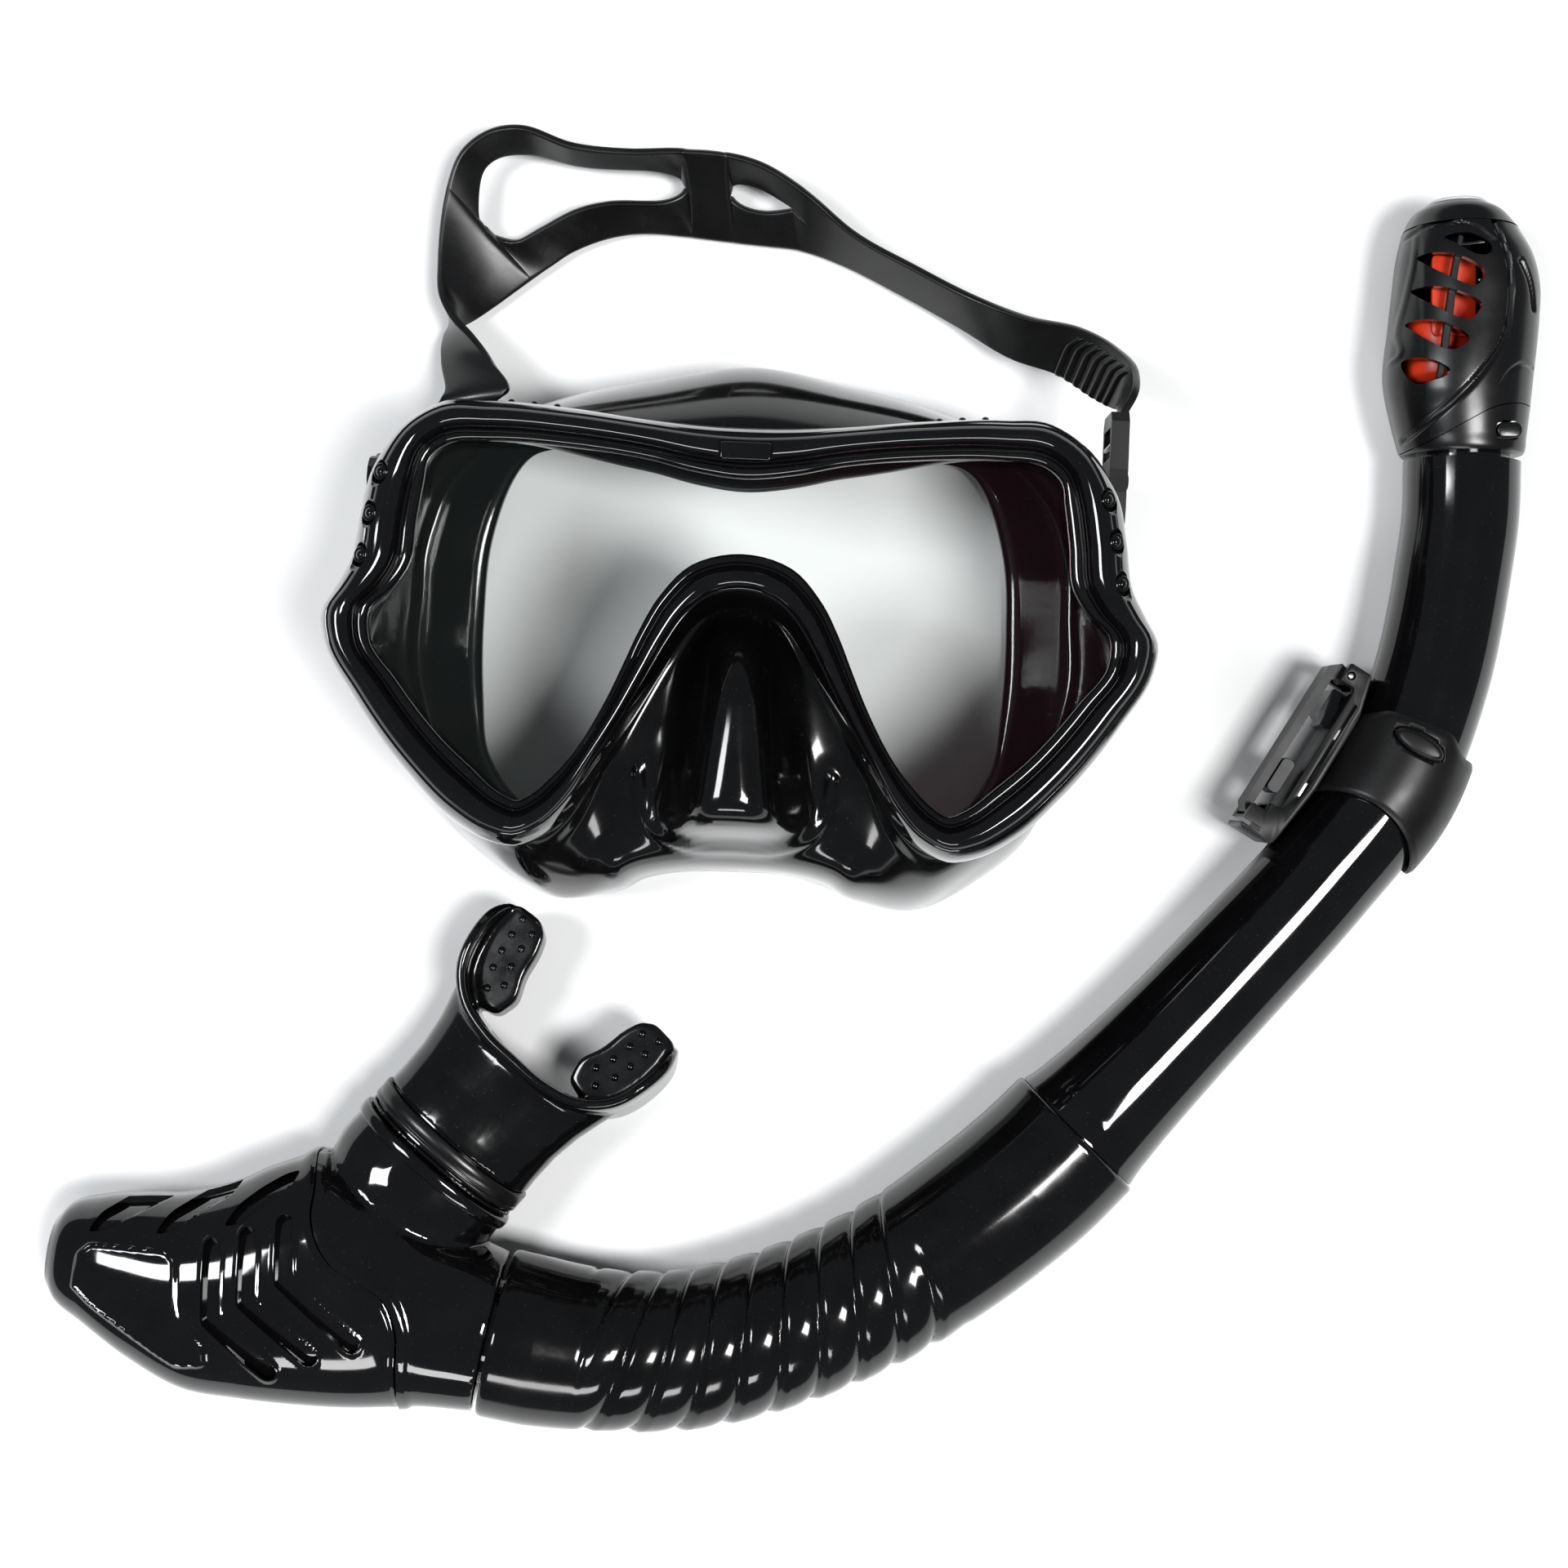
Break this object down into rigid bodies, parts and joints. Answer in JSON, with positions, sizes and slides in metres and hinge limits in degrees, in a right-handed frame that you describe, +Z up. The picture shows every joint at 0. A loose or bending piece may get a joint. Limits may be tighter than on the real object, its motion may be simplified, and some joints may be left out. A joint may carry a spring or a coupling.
{
  "type": "snorkel mask set",
  "caption": "Single-window diving mask with silicone skirt and split strap, and a dry-top snorkel with a flexible hose and purge valve.",
  "frame": {"origin": "centre of the whole set's outline on the table it lies on", "axes": "+Z up out of the mask's lens, +X along the set's long side from the purge cover towards the dry top, +Y from the mouthpiece towards the mask's strap"},
  "size_m": [0.3359, 0.2952, 0.0764],
  "materials": {
    "gloss": "polished black",
    "matte": "satin black",
    "silicone": "smooth semi-gloss silicone",
    "strap_silicone": "satin charcoal silicone",
    "glass": "clear tempered glass",
    "steel": "satin",
    "float": "satin orange-red"
  },
  "bodies": {
    "mask_frame": {"front_bezel": "gloss", "retaining_ring": "gloss", "lens": "glass", "skirt": "silicone", "top_latch_tab": "gloss", "temple_rivet_left_1": "gloss", "temple_rivet_left_2": "gloss", "temple_rivet_left_3": "gloss", "temple_rivet_right_1": "gloss", "temple_rivet_right_2": "gloss", "temple_rivet_right_3": "gloss", "buckle_mount_left": "matte", "buckle_pin_left": "steel", "buckle_mount_right": "matte", "buckle_pin_right": "steel"},
    "strap": {"strap": "strap_silicone", "buckle_body_left": "matte", "button_washer_left": "silicone", "buckle_body_right": "matte", "button_washer_right": "silicone"},
    "roller_left": {"strap_roller_left": "steel"},
    "roller_right": {"strap_roller_right": "steel"},
    "button_left": {"release_button_left": "matte"},
    "button_right": {"release_button_right": "matte"},
    "snorkel_barrel": {"barrel": "gloss", "flex_hose": "silicone", "dry_top_base": "gloss", "dry_top_shroud": "matte", "dry_top_cap": "matte", "flap_pin": "steel"},
    "snorkel_chamber": {"chamber": "gloss", "mouthpiece": "silicone", "mouthpiece_clamp_band": "matte", "purge_cover": "gloss", "purge_valve_seat": "gloss"},
    "purge_disc": {"purge_valve": "silicone"},
    "float": {"float": "float"},
    "flap": {"valve_flap": "float"},
    "dry_top_release": {"release_tab": "matte"},
    "keeper": {"keeper_ring": "matte", "keeper_inlay": "matte", "keeper_pin": "steel"},
    "gate": {"keeper_gate": "matte"},
    "lock": {"keeper_lock": "matte"}
  },
  "joints": [
    {"name": "strap_swing", "type": "hinge", "parent": "mask_frame", "child": "strap", "pos_m": [-0.01045, 0.05978, 0.0455], "axis": [0.9993, -0.0384, 0], "range_deg": [0, 45]},
    {"name": "roller_left_turn", "type": "hinge", "parent": "strap", "child": "roller_left", "pos_m": [-0.08809, 0.06276, 0.0323], "axis": [0.0384, 0.9993, 0], "continuous": true},
    {"name": "roller_right_turn", "type": "hinge", "parent": "strap", "child": "roller_right", "pos_m": [0.0677, 0.06999, 0.0455], "axis": [0, 0, 1], "continuous": true},
    {"name": "button_left_press", "type": "slide", "parent": "strap", "child": "button_left", "axis": [0.9993, -0.0384, 0], "range_m": [0, 0.0008], "stiffness_N_per_m": 300},
    {"name": "button_right_press", "type": "slide", "parent": "strap", "child": "button_right", "axis": [-0.9993, 0.0384, 0], "range_m": [0, 0.0008], "stiffness_N_per_m": 300},
    {"name": "snorkel_lift", "type": "slide", "parent": "mask_frame", "child": "snorkel_barrel", "axis": [0, 0, 1], "range_m": [0, 0.1]},
    {"name": "hose_flex", "type": "hinge", "parent": "snorkel_barrel", "child": "snorkel_chamber", "pos_m": [0.004, -0.12187, 0.01819], "axis": [0, 0, 1], "range_deg": [0, 22], "stiffness_Nm_per_rad": 0.4, "deforming": ["flex_hose"]},
    {"name": "purge_valve_lift", "type": "slide", "parent": "snorkel_chamber", "child": "purge_disc", "axis": [-0.9617, -0.274, 0], "range_m": [0, 0.0015], "stiffness_N_per_m": 60},
    {"name": "float_rise", "type": "slide", "parent": "snorkel_barrel", "child": "float", "axis": [0, 1, 0], "range_m": [0, 0.004]},
    {"name": "flap_swing", "type": "hinge", "parent": "snorkel_barrel", "child": "flap", "pos_m": [0.1535, 0.1108, 0.0162], "axis": [0, 0, 1], "range_deg": [-36, 0]},
    {"name": "release_tab_press", "type": "slide", "parent": "snorkel_barrel", "child": "dry_top_release", "axis": [0, 0, -1], "range_m": [0, 0.001], "stiffness_N_per_m": 300},
    {"name": "keeper_turn", "type": "hinge", "parent": "snorkel_barrel", "child": "keeper", "pos_m": [0.1338, -0.0041, 0.0166], "axis": [0.5329, 0.8462, 0], "range_deg": [0, 25]},
    {"name": "gate_swing", "type": "hinge", "parent": "keeper", "child": "gate", "pos_m": [0.12424, 0.02201, 0.0166], "axis": [0, 0, 1], "range_deg": [-55, 0]},
    {"name": "lock_slide", "type": "slide", "parent": "gate", "child": "lock", "axis": [0.5329, 0.8462, 0], "range_m": [0, 0.006]}
  ],
  "couplings": [
    {"joint": "flap_swing", "follows": "float_rise", "rad_per_m": -157.08}
  ]
}
